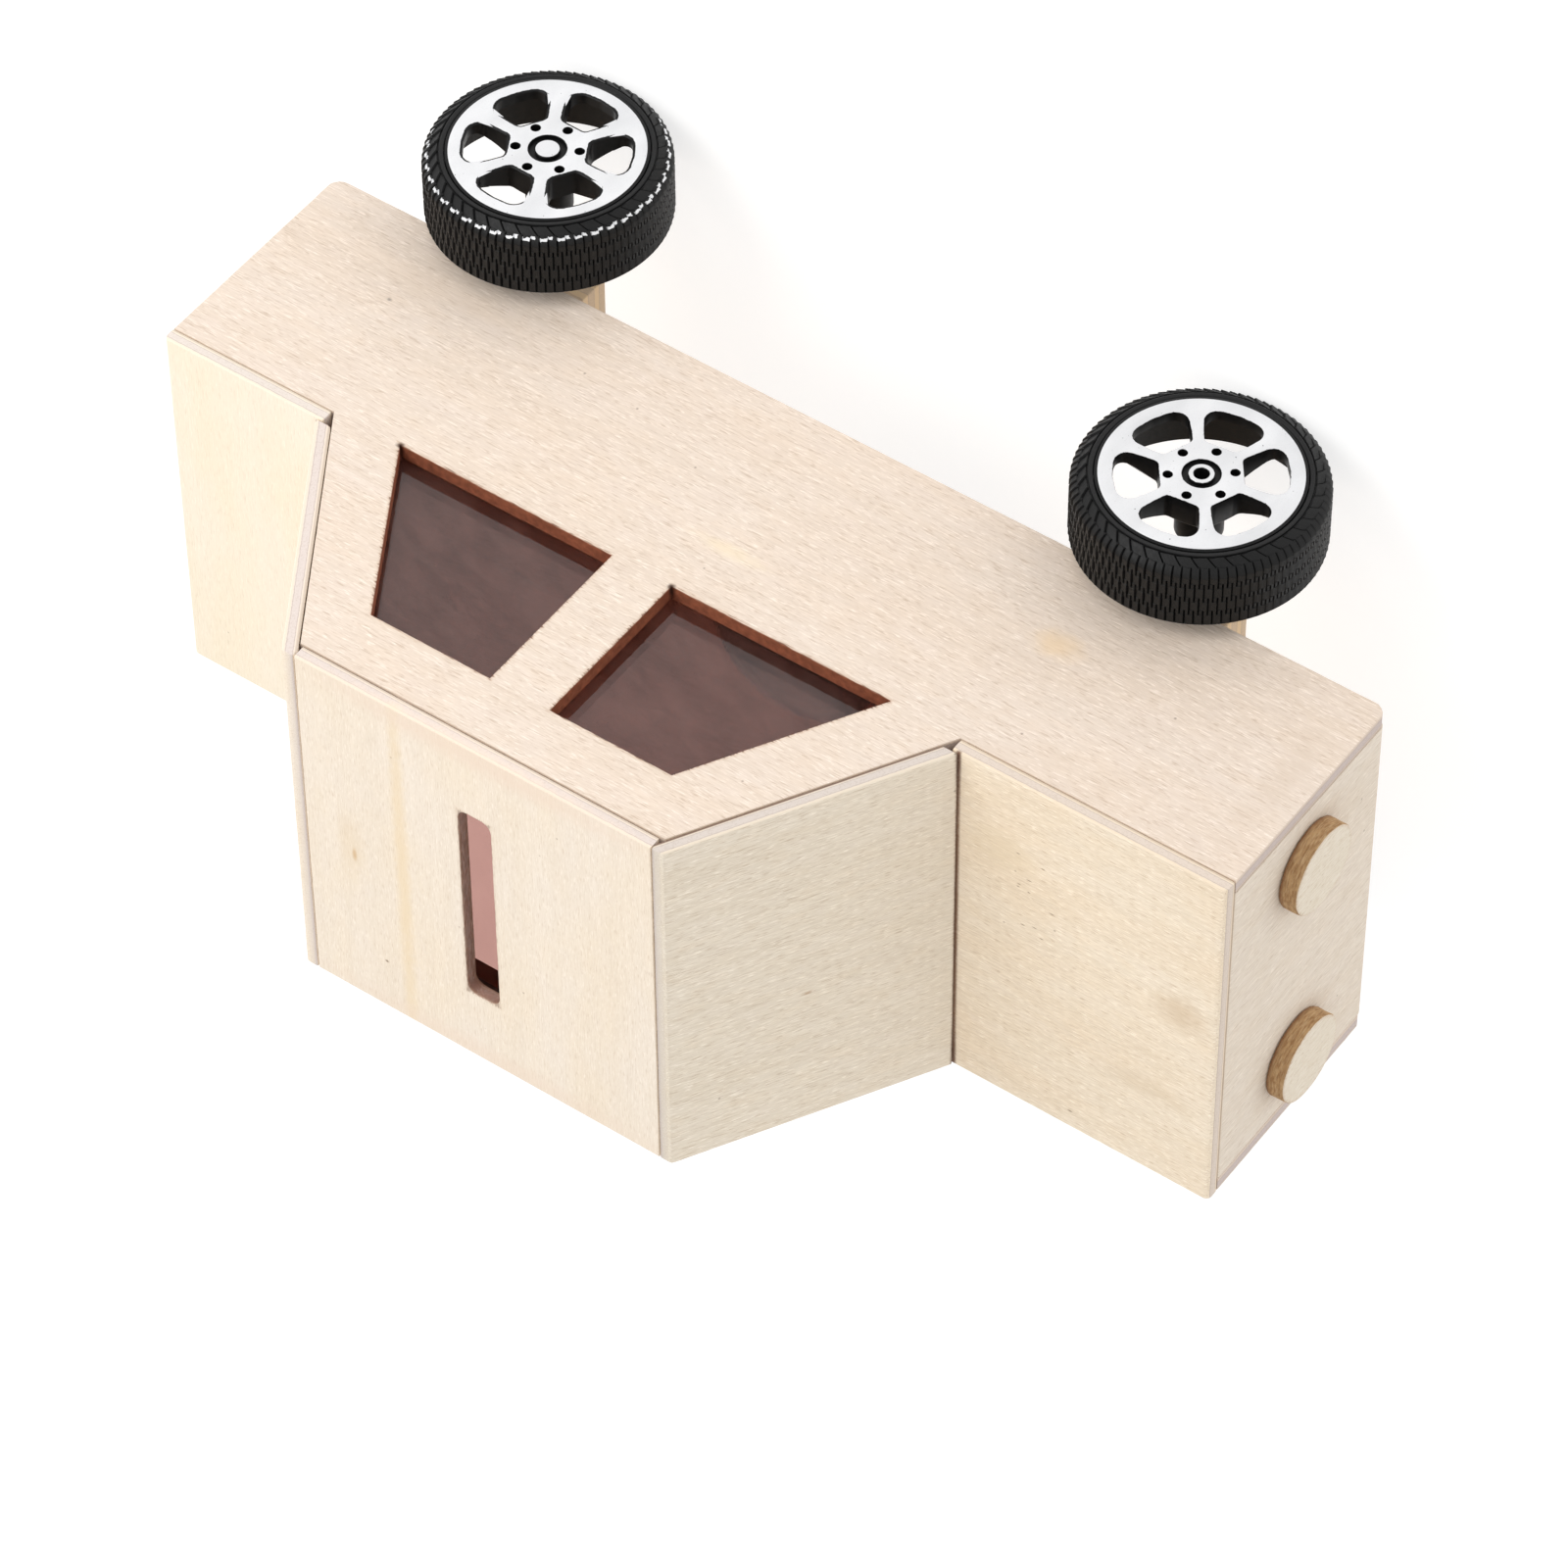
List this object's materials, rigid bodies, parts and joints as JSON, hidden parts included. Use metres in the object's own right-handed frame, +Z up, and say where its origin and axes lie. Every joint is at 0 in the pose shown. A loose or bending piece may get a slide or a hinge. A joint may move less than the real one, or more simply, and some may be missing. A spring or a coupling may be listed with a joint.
{
  "type": "model car money box",
  "caption": "Plywood money box shaped like a model car, with a coin slot in the roof, tinted side windows, a floor stopper and spoked wheels on turning axles.",
  "frame": {"origin": "centre of the bounding box's base, on the surface that the wheels stand on", "axes": "+X towards the front lamps, +Y towards the car's left side, +Z up"},
  "size_m": [0.1526, 0.079, 0.0886],
  "materials": {
    "basswood_plywood": "bare sanded plywood",
    "lamp_plywood": "laser-cut plywood disc",
    "block_wood": "raw wood",
    "brown_acrylic": "tinted and transparent",
    "black_stopper": "satin",
    "silvered_plastic": "hot-stamped silver face on black plastic",
    "black_tyre": "matte moulded tread",
    "axle_steel": "plain rod"
  },
  "bodies": {
    "car_body": {"side_panel_left": "basswood_plywood", "side_panel_right": "basswood_plywood", "bottom_board": "basswood_plywood", "front_board": "basswood_plywood", "rear_board": "basswood_plywood", "trunk_board": "basswood_plywood", "rear_window_board": "basswood_plywood", "roof_board": "basswood_plywood", "windshield_board": "basswood_plywood", "hood_board": "basswood_plywood", "headlight_left": "lamp_plywood", "headlight_right": "lamp_plywood", "axle_block_rear": "block_wood", "axle_block_front": "block_wood", "window_pane_left": "brown_acrylic", "window_pane_right": "brown_acrylic"},
    "rear_axle_set": {"rear_axle": "axle_steel", "rim_rear_left": "silvered_plastic", "rim_rear_right": "silvered_plastic", "tyre_rear_left": "black_tyre", "tyre_rear_right": "black_tyre"},
    "front_axle_set": {"front_axle": "axle_steel", "rim_front_left": "silvered_plastic", "rim_front_right": "silvered_plastic", "tyre_front_left": "black_tyre", "tyre_front_right": "black_tyre"},
    "stopper": {"coin_stopper": "black_stopper"}
  },
  "joints": [
    {"name": "rear_axle_spin", "type": "hinge", "parent": "car_body", "child": "rear_axle_set", "pos_m": [-0.05055, 0, 0.0151], "axis": [0, 1, 0], "continuous": true},
    {"name": "front_axle_spin", "type": "hinge", "parent": "car_body", "child": "front_axle_set", "pos_m": [0.04225, 0, 0.0151], "axis": [0, 1, 0], "continuous": true},
    {"name": "stopper_pull", "type": "slide", "parent": "car_body", "child": "stopper", "axis": [0, 0, -1], "range_m": [0, 0.016]}
  ]
}
